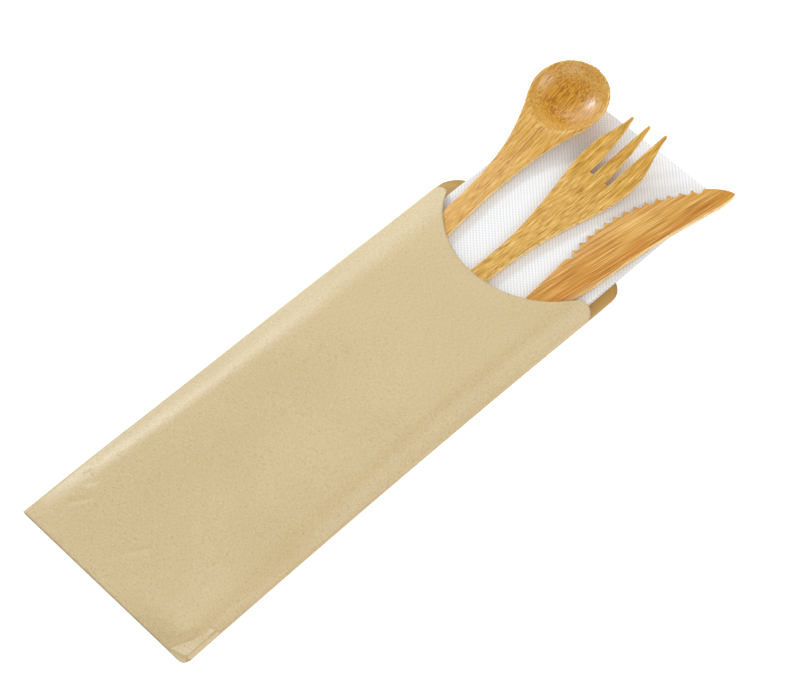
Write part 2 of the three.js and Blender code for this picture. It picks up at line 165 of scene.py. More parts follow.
class Graph:
    """A node tree whose nodes are added by one call each."""

    def __init__(self, tree: bpy.types.NodeTree) -> None:
        """Keeps the tree."""
        self.tree = tree

    def add(
        self,
        kind: str,
        settings: Mapping[str, object] | None = None,
        sockets: Mapping[Union[str, int], Value] | None = None,
        output: Union[str, int] = 0,
    ) -> Wire:
        """Adds a node.

        Args:
            kind: the node's type.
            settings: its own settings, set before its sockets.
            sockets: a value or a wire for each input that isn't left as it is.
            output: the output that is handed back.

        Returns:
            That output.
        """
        node = self.tree.nodes.new(kind)
        for name, value in (settings or {}).items():
            setattr(node, name, value)
        for name, value in (sockets or {}).items():
            self.feed(node.inputs[name], value)
        return Wire(self, node.outputs[output]) if node.outputs else Wire(self, node.inputs[0])

    def feed(self, socket: bpy.types.NodeSocket, value: Value) -> None:
        """Links a wire to an input, or sets the input's own value.

        Args:
            socket: the input.
            value: what goes into it.
        """
        if isinstance(value, Wire):
            self.tree.links.new(value.socket, socket)
        else:
            socket.default_value = value

    def mix(self, factor: Value, first: Value, second: Value) -> Wire:
        """Mixes two colours."""
        return self.add("ShaderNodeMix", {"data_type": "RGBA"}, {0: factor, 6: first, 7: second}, 2)

    def position_mm(self) -> Wire:
        """Object coordinates in millimetres."""
        place = self.add("ShaderNodeTexCoord", output="Object")
        return self.add("ShaderNodeMapping", None, {"Vector": place, "Scale": (1 / MM,) * 3})

    def attribute(self, name: str, output: str = "Fac") -> Wire:
        """What a piece keeps on its points under a name."""
        return self.add("ShaderNodeAttribute", {"attribute_name": name}, output=output)

    def stretched(self, place: Wire, grain: Size) -> Wire:
        """Divides a place by the size of the grain along each axis."""
        return self.add("ShaderNodeVectorMath", {"operation": "DIVIDE"}, {0: place, 1: grain})

    def noise(self, place: Wire, detail: Detail) -> Wire:
        """Soft noise with one wave to each unit of place."""
        sockets = {"Vector": place, "Scale": 1.0, "Detail": detail.value}
        return self.add("ShaderNodeTexNoise", None, sockets)

    def cells(self, place: Wire, output: str = "Distance", scatter: float = 1.0) -> Wire:
        """Scattered cells with one to each unit of place."""
        sockets = {"Vector": place, "Scale": 1.0, "Randomness": scatter}
        return self.add("ShaderNodeTexVoronoi", None, sockets, output)

    def axis(self, place: Wire, name: str) -> Wire:
        """One coordinate of a place."""
        return self.add("ShaderNodeSeparateXYZ", None, {0: place}, name)

    def lattice(self, place: Wire, period: float | Wire, weight: float) -> Wire:
        """Two crossing sets of waves at 45 degrees to X and Y, from 1 on the bumps to -1 in the pits.

        Args:
            place: where, in any unit.
            period: distance between bumps along X and along Y, in the same unit.
            weight: share of the waves that run along X and Y together.

        Returns:
            The height.
        """
        turn = 2 * math.pi / period
        x, y = (self.axis(place, name) for name in "XY")
        return ((x + y) * turn).cosine() * weight + ((x - y) * turn).cosine() * (1 - weight)

    def bump(self, shader: bpy.types.Node, height: Wire, strength: float, depth: float) -> None:
        """Gives a shader fine relief of the given depth in millimetres."""
        sockets = {"Strength": strength, "Distance": depth * MM, "Height": height}
        self.feed(shader.inputs["Normal"], self.add("ShaderNodeBump", None, sockets, "Normal"))


def new_material(name: str) -> tuple[bpy.types.Material, Graph, bpy.types.Node]:
    """Makes a material.

    Args:
        name: the finish's name.

    Returns:
        The material, its graph and its Principled shader.
    """
    material = bpy.data.materials.new(name)
    material.use_nodes = True
    return material, Graph(material.node_tree), material.node_tree.nodes["Principled BSDF"]


# Finishes


@dataclass(frozen=True)
class Kraft:
    """Brown kraft paper with soft clouds, fine grain and dark specks, and painted shade on its inner side.

    An edge is where a mask starts and where it is full. A share is how much of a colour shows there.
    """

    sheet: Colour = paint(210, 186, 135)
    cloud: Colour = paint(216, 193, 145)
    fibre: Colour = paint(186, 158, 110)
    light: Colour = paint(226, 207, 170)
    speck: Colour = paint(112, 86, 50)
    # inner: painted shade, a darker and more saturated colour for the sleeve's insides, the lip among them
    inner: Colour = paint(194, 148, 62)
    cloud_size: float = 34.0
    cloud_edge: Span = (0.3, 0.7)
    cloud_share: float = 0.6
    fibre_size: Size = (1.3, 0.42, 1.3)
    fibre_edge: Span = (0.48, 0.7)
    fibre_share: float = 0.65
    grain_size: float = 0.55
    grain_edge: Span = (0.5, 0.74)
    grain_share: float = 0.65
    speck_size: float = 3.4
    speck_edge: Span = (0.085, 0.035)
    speck_rarity: Span = (0.5, 0.8)
    speck_share: float = 0.8
    inner_shade_share: float = 0.92
    roughness: float = 0.44
    roughness_swing: float = 0.16
    sheen: float = 0.9
    relief_strength: float = 0.3
    relief_depth: float = 0.08

    def material(self) -> bpy.types.Material:
        """Builds the paper's material.

        Returns:
            The material.
        """
        material, graph, shader = new_material("kraft_paper")
        place = graph.position_mm()
        clouds = graph.noise(graph.stretched(place, (self.cloud_size,) * 3), Detail.FINE)
        fibres = graph.noise(graph.stretched(place, self.fibre_size), Detail.FIBROUS)
        grain = graph.noise(graph.stretched(place, (self.grain_size,) * 3), Detail.SOFT)
        spots = graph.stretched(place, (self.speck_size,) * 3)
        rare = graph.add("ShaderNodeSeparateColor", None, {"Color": graph.cells(spots, "Color")})
        specks = graph.cells(spots).ramp(*self.speck_edge) * rare.ramp(*self.speck_rarity)
        colour = graph.mix(clouds.ramp(*self.cloud_edge) * self.cloud_share, self.sheet, self.cloud)
        colour = graph.mix(fibres.ramp(*self.fibre_edge) * self.fibre_share, colour, self.fibre)
        colour = graph.mix(grain.ramp(*self.grain_edge) * self.grain_share, colour, self.light)
        # painted shade on the sleeve's insides, where the inside marks are
        colour = graph.mix(graph.attribute("inside") * self.inner_shade_share, colour, self.inner)
        colour = graph.mix(specks * self.speck_share, colour, self.speck)
        smoothest = self.roughness - self.roughness_swing / 2
        graph.feed(shader.inputs["Base Color"], colour)
        graph.feed(shader.inputs["Roughness"], fibres * self.roughness_swing + smoothest)
        graph.feed(shader.inputs["Specular IOR Level"], self.sheen)
        graph.bump(shader, fibres + grain, self.relief_strength, self.relief_depth)
        return material


@dataclass(frozen=True)
class Tissue:
    """White two-ply tissue, with painted shade in the pits of its emboss."""

    white: Colour = (0.93, 0.93, 0.935, 1.0)
    # pit: painted shade, the grey that the emboss pits are darkened to
    pit_shade: Colour = (0.68, 0.68, 0.69, 1.0)
    period: float = 1.91
    weight: float = 0.66
    pit_shade_edge: Span = (0.3, -0.9)
    pit_shade_share: float = 0.7
    fibre_size: float = 0.5
    fibre_share: float = 0.1
    roughness: float = 0.95
    sheen: float = 0.2
    relief_strength: float = 0.2
    relief_depth: float = 0.05

    def material(self) -> bpy.types.Material:
        """Builds the napkin's material.

        Returns:
            The material.
        """
        material, graph, shader = new_material("tissue")
        place = graph.position_mm()
        fluff = graph.noise(graph.stretched(place, (self.fibre_size,) * 3), Detail.FINE)
        pits = graph.lattice(place, self.period, self.weight).ramp(*self.pit_shade_edge)
        # painted shade in the emboss pits, with a little fibre tone
        pit_shade_and_fluff = pits * self.pit_shade_share + fluff * self.fibre_share
        graph.feed(shader.inputs["Base Color"], graph.mix(pit_shade_and_fluff, self.white, self.pit_shade))
        graph.feed(shader.inputs["Roughness"], self.roughness)
        graph.feed(shader.inputs["Specular IOR Level"], self.sheen)
        graph.bump(shader, fluff, self.relief_strength, self.relief_depth)
        return material


@dataclass(frozen=True)
class Bamboo:
    """Sanded bamboo: bundles of fibres along the slat, cut to dots where the surface slopes through them.

    A size is that of the grain across the slat, along it and down into it, in millimetres.
    """

    name: str
    pale: Colour
    warm: Colour
    streak: Colour
    bundle: Colour
    # lit_side_and_pale_fibre: pale fibre streaks, and painted light that makes the upright sides paler than
    # the top
    lit_side_and_pale_fibre: Colour
    # depth_shade: painted shade, a more saturated amber deeper below the top, as in the spoon's bowl
    depth_shade: Colour
    bundle_size: Size = (0.95, 150.0, 0.8)
    bundle_scatter: float = 0.8
    bundle_edge: Span = (0.36, 0.16)
    depth: float = 0.6
    wander_size: Size = (1.0, 5.0, 1.0)
    wander: float = 1.5
    band_size: Size = (2.4, 70.0, 2.4)
    band_edge: Span = (0.34, 0.66)
    hair_size: Size = (0.4, 6.0, 0.4)
    hair_edge: Span = (0.52, 0.62)
    hairiness: float = 0.7
    shine_edge: Span = (0.46, 0.36)
    hair_shine: float = 0.35
    side_light_share: float = 0.85
    deep_edge: Span = (-3.0, -6.5)
    cut: Colour = BLACK
    cut_size: Size = (0.42, 12.0, 0.42)
    cut_edge: Span = (0.47, 0.57)
    cut_depth: float = 0.0
    heart: Colour = BLACK
    heart_at: float = 0.0
    heart_width: float = 0.0
    heart_far: float = 0.3
    heart_share: float = 0.85
    # painted shade over the handle end, which lies in the sleeve
    sleeve_shade_span: Span = (165.0, 120.0)
    sleeve_shade_share: float = 0.6
    roughness: float = 0.32
    bundle_roughness: float = 0.2
    sheen: float = 0.65
    coat: float = 0.0
    coat_roughness: float = 0.24
    hair_relief: float = 0.4
    relief_strength: float = 0.2
    relief_depth: float = 0.05

    def material(self) -> bpy.types.Material:
        """Builds the bamboo's material, with its grain along the slat.

        Returns:
            The material.
        """
        material, graph, shader = new_material(self.name)
        place = graph.attribute("grain", "Vector")
        wandering = graph.stretched(self._wandering(graph, place), self.bundle_size)
        bundles = graph.cells(wandering, scatter=self.bundle_scatter).ramp(*self.bundle_edge)
        bands = graph.noise(graph.stretched(place, self.band_size), Detail.FINE)
        hairs = graph.noise(graph.stretched(place, self.hair_size), Detail.FINE)
        deepness = graph.axis(place, "Z").ramp(*self.deep_edge)
        colour = graph.mix(bands.ramp(*self.band_edge), self.pale, self.warm)
        if self.heart_width:
            colour = graph.mix(self._hearted(graph, place, bands), colour, self.heart)
        colour = graph.mix(hairs.ramp(*self.shine_edge) * self.hair_shine, colour, self.lit_side_and_pale_fibre)
        # painted shade deeper below the slat's top
        colour = graph.mix(deepness, colour, self.depth_shade)
        if self.cut_depth:
            lines = graph.noise(graph.stretched(place, self.cut_size), Detail.SMOOTH).ramp(*self.cut_edge)
            colour = graph.mix(lines * deepness * self.cut_depth, colour, self.cut)
        # painted light: the upright sides are made paler than the top
        colour = graph.mix(graph.attribute("side") * self.side_light_share, colour, self.lit_side_and_pale_fibre)
        colour = graph.mix(hairs.ramp(*self.hair_edge) * self.hairiness, colour, self.streak)
        colour = graph.mix(bundles * self.depth, colour, self.bundle)
        graph.feed(shader.inputs["Base Color"], colour)
        graph.feed(shader.inputs["Roughness"], bundles * self.bundle_roughness + self.roughness)
        graph.feed(shader.inputs["Specular IOR Level"], self.sheen)
        graph.feed(shader.inputs["Coat Weight"], self.coat)
        graph.feed(shader.inputs["Coat Roughness"], self.coat_roughness)
        height = 1 - bundles - hairs * self.hair_relief
        graph.bump(shader, height, self.relief_strength, self.relief_depth)
        return material

    def _wandering(self, graph: Graph, place: Wire) -> Wire:
        """Lets the bundles rise and sink along the slat, so that its top cuts them into streaks.

        Args:
            graph: the material's graph.
            place: where in the slat.

        Returns:
            The place in the bundles.
        """
        drift = graph.noise(graph.stretched(place, self.wander_size), Detail.SMOOTH)
        shift = graph.add("ShaderNodeCombineXYZ", None, {"Z": (drift - NOISE_MIDDLE) * self.wander})
        return graph.add("ShaderNodeVectorMath", {"operation": "ADD"}, {0: place, 1: shift})

    def _hearted(self, graph: Graph, place: Wire, bands: Wire) -> Wire:
        """The dark heart of the slat, a stripe along it, and painted shade over all of it towards the
        handle.

        Args:
            graph: the material's graph.
            place: where in the slat.
            bands: noise that makes the stripe's edge uneven.

        Returns:
            How much of the heart's colour shows.
        """
        off = graph.axis(place, "X") - self.heart_at + (bands - NOISE_MIDDLE) * self.heart_width
        inner = off.ramp(-self.heart_width, 0.0)
        outer = off.ramp(self.heart_width * self.heart_far, 0.0)
        # painted shade towards the handle, where it goes into the sleeve
        root = graph.axis(place, "Y").ramp(*self.sleeve_shade_span)
        return inner * outer * self.heart_share + root * self.sleeve_shade_share


# Meshes


@dataclass(frozen=True)
class Extent:
    """The box of a node of the frame, in millimetres."""

    low: np.ndarray
    high: np.ndarray

    @classmethod
    def of(cls, node: str) -> "Extent":
        """Reads a node's box."""
        low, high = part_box(node)
        return cls(np.array(low) / MM, np.array(high) / MM)


def share(distance: np.ndarray, width: Union[float, np.ndarray]) -> np.ndarray:
    """How much of a width has been covered, from 0 to 1."""
    return np.clip(distance / width, 0.0, 1.0)


def eased(part: np.ndarray) -> np.ndarray:
    """A share that starts and ends gently."""
    return part * part * (3 - 2 * part)


def shoulder(distance: np.ndarray, width: Union[float, np.ndarray]) -> np.ndarray:
    """Rises from 0 at a fold to 1 at a width, steep at first as taut paper does."""
    return 1 - (1 - share(distance, width)) ** 2


class MeshParts:
    """Closed shells of sheet that are gathered into one mesh."""

    def __init__(self) -> None:
        """Starts with nothing."""
        self.points: list[np.ndarray] = []
        self.faces: list[np.ndarray] = []
        self.marks: list[np.ndarray] = []
        self.count = 0

    def add_shell(
        self, top: np.ndarray, bottom: np.ndarray, top_mark: float = 0.0, under_mark: float = 0.0
    ) -> None:
        """Adds the closed shell between two grids of points.

        Args:
            top: outer grid, rows by columns by 3, with rows along Y and columns along X.
            bottom: inner grid of the same form.
            top_mark: value kept on the points of the outer grid, except along its folds.
            under_mark: value kept on the points of the inner grid, except along its folds.
        """
        rows, columns = top.shape[:2]
        index = np.arange(rows * columns).reshape(rows, columns) + self.count
        under = index + rows * columns
        quads = [self._quads(index), self._quads(under)[:, ::-1]]
        rim = np.concatenate([index[0, :-1], index[:-1, -1], index[-1, :0:-1], index[:0:-1, 0]])
        step = np.roll(rim, -1)
        quads.append(np.stack([rim, rim + rows * columns, step + rows * columns, step], axis=1))
        self.points += [top.reshape(-1, 3), bottom.reshape(-1, 3)]
        within = np.ones((rows, columns))
        within[0] = within[:, 0] = within[:, -1] = 0.0
        self.marks += [within.ravel() * top_mark, within.ravel() * under_mark]
        self.faces += quads
        self.count += 2 * rows * columns

    @staticmethod
    def _quads(index: np.ndarray) -> np.ndarray:
        """Faces of a grid, seen from above."""
        return np.stack(
            [index[:-1, :-1], index[:-1, 1:], index[1:, 1:], index[1:, :-1]], axis=-1
        ).reshape(-1, 4)

    def to_object(self, name: str, mark: str) -> bpy.types.Object:
        """Makes the object, with the marks as an attribute of its points.

        Args:
            name: the object's name.
            mark: the attribute's name.

        Returns:
            The object, in the scene, in metres.
        """
        mesh = bpy.data.meshes.new(name)
        points = np.concatenate(self.points) * MM
        mesh.from_pydata(points.tolist(), [], np.concatenate(self.faces).tolist())
        mesh.attributes.new(mark, "FLOAT", "POINT").data.foreach_set("value", np.concatenate(self.marks))
        return place_object(name, mesh)


def place_object(name: str, mesh: bpy.types.Mesh) -> bpy.types.Object:
    """Puts a smoothly shaded mesh into the scene as an object.

    Args:
        name: the object's name.
        mesh: its mesh, in metres.

    Returns:
        The object.
    """
    mesh.shade_smooth()
    piece = bpy.data.objects.new(name, mesh)
    bpy.context.scene.collection.objects.link(piece)
    return piece


def settle(piece: bpy.types.Object) -> None:
    """Turns a piece and its modifiers into a plain mesh.

    Args:
        piece: the object, which keeps its name and place.
    """
    graph = bpy.context.evaluated_depsgraph_get()
    mesh = bpy.data.meshes.new_from_object(piece.evaluated_get(graph))
    piece.modifiers.clear()
    piece.data = mesh
    mesh.shade_smooth()


def hand_over(piece: bpy.types.Object, node: str) -> None:
    """Puts a finished piece in the place of its node.

    Args:
        piece: the finished object.
        node: the node of the frame that it replaces.
    """
    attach(piece, BODY)
    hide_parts(node)
    LOG.info("%s: %d faces", piece.name, len(piece.data.polygons))


# Sleeve


@dataclass(frozen=True)
class Crease:
    """A short pressed line in the paper, in sleeve millimetres from the middle of the closed end."""

    start: Span
    end: Span
    depth: float
    width: float
    fade: float = 0.25

    def relief(self, x: np.ndarray, y: np.ndarray) -> np.ndarray:
        """Height of the crease at each place.

        Args:
            x: places across the sleeve.
            y: places along it.

        Returns:
            Heights, 0 or less.
        """
        run = np.subtract(self.end, self.start)
        length = float(np.hypot(*run))
        along = ((x - self.start[0]) * run[0] + (y - self.start[1]) * run[1]) / length
        across = ((y - self.start[1]) * run[0] - (x - self.start[0]) * run[1]) / length
        ends = length * self.fade
        shown = eased(share(along, ends)) * eased(share(length - along, ends))
        return -self.depth * shown * np.exp(-((across / self.width) ** 2))


@dataclass
class PaperSleeve:
    """Kraft paper sleeve: one sheet, folded round its contents, glued at the back and open at the mouth."""

    finish: Kraft = field(default_factory=Kraft)
    node: str = "paper_sleeve"
    slot: str = "kraft_paper"
    paper: float = 0.3
    join: float = 0.15
    length: float = 234.0
    ear_radius: float = 4.0
    scoop_depth: float = 25.4
    lip_length: float = 18.2
    lip_slant: float = 6.5
    lip_corner_spoon: float = 14.0
    lip_corner_knife: float = 9.5
    seam_width: float = 11.0
    bottom_flap: float = 14.0
    flap_inset: float = 1.0
    pinch: float = 0.8
    side_wall: float = 2.0
    wall_start: float = 95.0
    crown: float = 7.02
    contents_end: float = 149.2
    rise: float = 1.35
    left_shoulder: float = 15.4
    right_shoulder: float = 11.6
    left_taper: float = 0.45
    sag: float = 0.9
    sag_reach: float = 30.0
    sag_end: float = 40.0
    dent_length: float = 17.0
    dent_width: float = 8.0
    dent_rise: float = 4.0
    dent_valley: float = 4.0
    dent_wall: float = 0.7
    dent_puff: float = 2.8
    puff_reach: float = 40.0
    puff_end: float = 10.0
    dent_lift: float = 3.0
    dent_fade: float = 2.5
    corner: float = 3.0
    left_bow: Span = (0.65, -0.68)
    left_flare: float = 50.0
    left_bend: float = 1.5
    left_waist: Span = (60.0, 110.0)
    right_bow: Span = (-0.4, 1.0)
    columns: int = 150
    rows: int = 270
    back_rows: int = 45
    seam_columns: int = 2
    flap_columns: int = 60
    strip_rows: int = 2
    gather: float = 0.4
    crease_height: float = 1.0
    creases: tuple[Crease, ...] = (
        Crease((-13.0, 162.0), (2.0, 165.0), 0.16, 0.7),
        Crease((-36.0, 14.0), (-30.0, 24.0), 0.2, 1.2),
        Crease((-8.0, 10.0), (2.0, 26.0), 0.2, 1.2),
        Crease((-42.0, 30.0), (-34.0, 26.0), 0.3, 3.0),
    )

    def __post_init__(self) -> None:
        """Takes the sleeve's width and place from the frame."""
        extent = Extent.of(self.node)
        self.half = float(extent.high[0])
        self.closed_end = float(extent.low[1])

    def mouth(self, x: np.ndarray) -> np.ndarray:
        """Where the front panel ends: two round ears with a scoop between them.

        Args:
            x: places across the sleeve.

        Returns:
            Places along it.
        """
        ear_x = self.half - self.ear_radius
        ear_y = self.length - self.ear_radius
        drop = self.scoop_depth - self.ear_radius
        radius = (ear_x**2 + drop**2 - self.ear_radius**2) / (2 * self.scoop_depth)
        middle = self.length - self.scoop_depth + radius
        touch = ear_x * radius / (radius + self.ear_radius)
        scoop = middle - np.sqrt(np.maximum(radius**2 - x**2, 0.0))
        ear = ear_y + np.sqrt(np.maximum(self.ear_radius**2 - (np.abs(x) - ear_x) ** 2, 0.0))
        return np.where(np.abs(x) < touch, scoop, ear)

    def lip(self, x: np.ndarray) -> np.ndarray:
        """Where the back panel ends: a slanting lip with two round corners.

        Args:
            x: places across the sleeve.

        Returns:
            Places along it.
        """
        top = self.length + self.lip_length
        right = top + self.lip_slant / 2
        left = top - self.lip_slant / 2
        inner_right = self.half - self.lip_corner_knife
        inner_left = self.lip_corner_spoon - self.half
        straight = left + (right - left) * share(x - inner_left, inner_right - inner_left)
        fall_right = self._rounded(x - inner_right, self.lip_corner_knife)
        fall_left = self._rounded(inner_left - x, self.lip_corner_spoon)
        return straight - fall_right - fall_left

    @staticmethod
    def _rounded(beyond: np.ndarray, radius: float) -> np.ndarray:
        """How far a round corner falls back, at places beyond where it starts."""
        return radius - np.sqrt(np.maximum(radius**2 - np.maximum(beyond, 0.0) ** 2, 0.0))

    def front_underside(self, x: np.ndarray, y: np.ndarray) -> np.ndarray:
        """Height of the front panel's underside over the table.

        Args:
            x: places across the sleeve.
            y: places along it.

        Returns:
            Heights.
        """
        part = share(y - self.pinch, self.contents_end - self.pinch)
        along = 1 - (1 - part) ** self.rise
        taper = self.left_taper + (1 - self.left_taper) * part
        left = self._risen(self.half + x, self.left_shoulder * taper, y)
        right = self._risen(self.half - x, self.right_shoulder, y)
        slack = np.cos(np.clip(x / self.sag_reach, -1, 1) * math.pi / 2) ** 2
        free = eased(share(self.contents_end - y + self.sag_end / 2, self.sag_end))
        pillow = along * (self.crown * left * right - self.sag * slack * free) + self._puffed(x, y)
        for crease in self.creases:
            pillow = pillow + crease.relief(x, y) * share(pillow, self.crease_height)
        return 2 * self.paper - self.join + self._dented(x, y, pillow)

    def _risen(self, distance: np.ndarray, width: Union[float, np.ndarray], y: np.ndarray) -> np.ndarray:
        """Rises from 0 at a fold to 1 at a width; towards the mouth the fold stands up first."""
        wall = self.side_wall / self.crown * share(y - self.wall_start, self.length - self.wall_start)
        return wall * share(distance, self.pinch) + (1 - wall) * shoulder(distance - self.pinch, width)

    def _puffed(self, x: np.ndarray, y: np.ndarray) -> np.ndarray:
        """Paper pushed up beside the dent, and held down along both folds.

        Args:
            x: places across the sleeve.
            y: places along it.

        Returns:
            Heights to add to the pillow.
        """
        inward = self.half - x
        beyond = inward - self.dent_wall - self._facet(y) - self.dent_valley
        across = (1 - share(beyond, self.puff_reach)) ** 2
        along = 1 - eased(share(y - self.dent_length, self.puff_reach))
        side = shoulder(inward - self.pinch, self.dent_width)
        return self.dent_puff * (across * along) * side * shoulder(y - self.pinch, self.puff_end)

    def _facet(self, y: np.ndarray) -> np.ndarray:
        """How far the facet of the dent reaches in from the fold."""
        return self.dent_width * (1 - share(y, self.dent_length)) + self.join

    def _dented(self, x: np.ndarray, y: np.ndarray, pillow: np.ndarray) -> np.ndarray:
        """Presses in the corner: the side fold stands up, and a flat facet falls from it into a valley.

        Args:
            x: places across the sleeve.
            y: places along it.
            pillow: heights before the dent.

        Returns:
            Heights with the dent.
        """
        inward = self.half - x
        facet = self._facet(y)
        wall = share(inward, self.dent_wall) * share(y - self._start(x), self.pinch)
        drop = self.dent_rise - self.dent_lift * share(y, self.dent_length)
        valley = (self.dent_rise - drop * share(inward - self.dent_wall, facet)) * wall
        kept = eased(share(inward - self.dent_wall - facet, self.dent_valley))
        pressed = (1 - kept) * (1 - eased(share(y - self.dent_length, self.dent_fade)))
        return pillow + (valley - pillow) * pressed

    def _columns(self) -> np.ndarray:
        """Places across the sleeve, drawn together towards the folds."""
        even = np.linspace(-1.0, 1.0, self.columns + 1)
        return self.half * ((1 - self.gather) * even + self.gather * np.sin(even * math.pi / 2))

    def _grid(self, x: np.ndarray, end: np.ndarray, rows: int) -> tuple[np.ndarray, np.ndarray]:
        """Places on a panel that starts at the closed end and ends at its own line.

        Args:
            x: the columns' places across the sleeve.
            end: where each column ends.
            rows: spaces along each column.

        Returns:
            The places across and the places along, rows by columns.
        """
        start = self._start(x)
        part = np.linspace(0.0, 1.0, rows + 1)[:, None]
        y = start + part * (end - start)
        return np.broadcast_to(x, y.shape), y

    def _start(self, x: np.ndarray) -> np.ndarray:
        """Where the panels start: the closed end, with one blunt corner."""
        return self._rounded(x - (self.half - self.corner), self.corner)

    def _panel(self, x: np.ndarray, y: np.ndarray, z: np.ndarray) -> np.ndarray:
        """Points of a panel in the frame, with the slight bow of the two side folds.

        Args:
            x: places across the straight sleeve.
            y: places along it.
            z: heights.

        Returns:
            Points, rows by columns by 3.
        """
        closed, mouth = self.left_bow
        start, reach = self.left_waist
        left = closed * (1 - share(y, self.left_flare)) ** self.left_bend
        left = left + mouth * eased(share(y - start, reach))
        waist, flare = self.right_bow
        right = waist + flare * np.clip((y - self.length / 2) / (self.length / 2), -1.0, 1.0) ** 2
        part = (x + self.half) / (2 * self.half)
        return np.stack([x + (1 - part) * left + part * right, y + self.closed_end, z], axis=-1)

    def build(self) -> bpy.types.Object:
        """Builds the front panel, the back panel with its lip, the glued lap and the turned-up flap.

        Returns:
            The sleeve.
        """
        parts = MeshParts()
        across = self._columns()
        x, y = self._grid(across, self.mouth(across), self.rows)
        under = self.front_underside(x, y)
        # the inside marks, on the front panel's underside and the back panel's top, carry the painted shade
        # of the sleeve's insides
        parts.add_shell(self._panel(x, y, under + self.paper), self._panel(x, y, under), 0.0, 1.0)
        x, y = self._grid(across, self.lip(across), self.back_rows)
        floor = np.full(x.shape, self.paper)
        parts.add_shell(self._panel(x, y, floor + self.paper), self._panel(x, y, floor), 1.0, 0.0)
        seam = np.linspace(-self.seam_width / 2, self.seam_width / 2, self.seam_columns + 1)
        self._add_strip(parts, seam, self.length + self.lip_length - self.lip_slant, self.bottom_flap)
        reach = self.half - self.flap_inset
        flap = np.linspace(-reach, reach, self.flap_columns + 1)
        self._add_strip(parts, flap, self.bottom_flap)
        return parts.to_object("kraft_sleeve", "inside")

    def _add_strip(self, parts: MeshParts, across: np.ndarray, end: float, start: float = 0.0) -> None:
        """Adds a flat glued strip under the back panel.

        Args:
            parts: the sleeve's shells.
            across: the strip's columns.
            end: where it ends.
            start: where it starts, if that is past the closed end.
        """
        x, y = self._grid(across, np.full(across.shape, end), self.strip_rows)
        y = np.maximum(y, start)
        low = np.zeros(x.shape)
        parts.add_shell(self._panel(x, y, low + self.paper + self.join), self._panel(x, y, low))

    def dress(self, piece: bpy.types.Object) -> None:
        """Gives the sleeve its paper."""
        piece.data.materials.append(self.finish.material())
        hand_over(piece, self.node)


# Napkin


